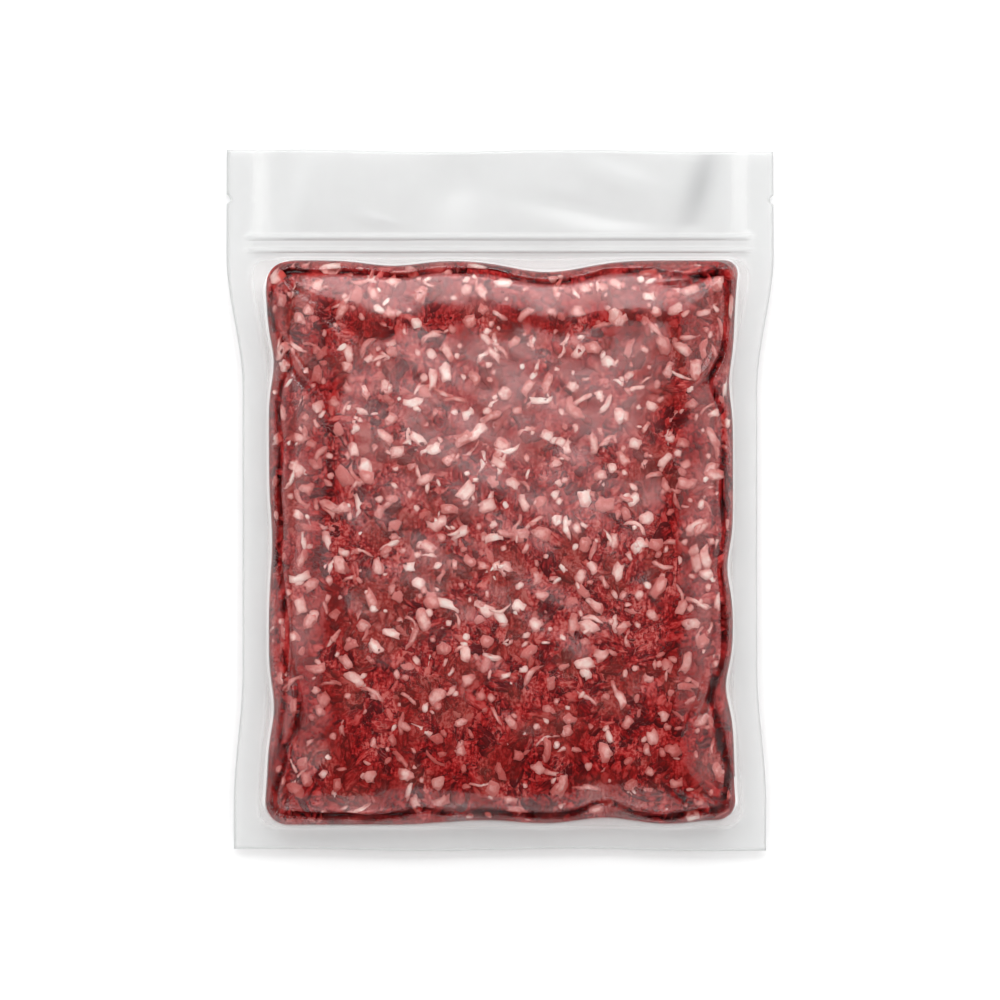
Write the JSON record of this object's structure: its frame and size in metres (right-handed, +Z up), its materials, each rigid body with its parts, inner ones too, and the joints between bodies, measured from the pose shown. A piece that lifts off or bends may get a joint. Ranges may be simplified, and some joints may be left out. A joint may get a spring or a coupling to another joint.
{
  "type": "zip pouch of minced meat",
  "caption": "Flat clear zip pouch, sealed all round a pressed block of minced meat, lying on its back with the front up.",
  "frame": {"origin": "on the surface that the pouch lies on, under the middle of the film's outline", "axes": "+Z up out of the front of the pouch, +Y along the pouch towards the zip end, +X across it to the right as seen from above"},
  "size_m": [0.18, 0.2308, 0.0206],
  "materials": {
    "filled_pouch": "mince seen through clear film",
    "zip": "milky clear, satin",
    "film": "clear and slightly milky, glossy, softly wrinkled",
    "lean": "moist dark red mince strands",
    "fat": "moist pale pink fat bits"
  },
  "bodies": {
    "root": {"pouch": "filled_pouch", "zip_strip": "zip"}
  },
  "joints": []
}
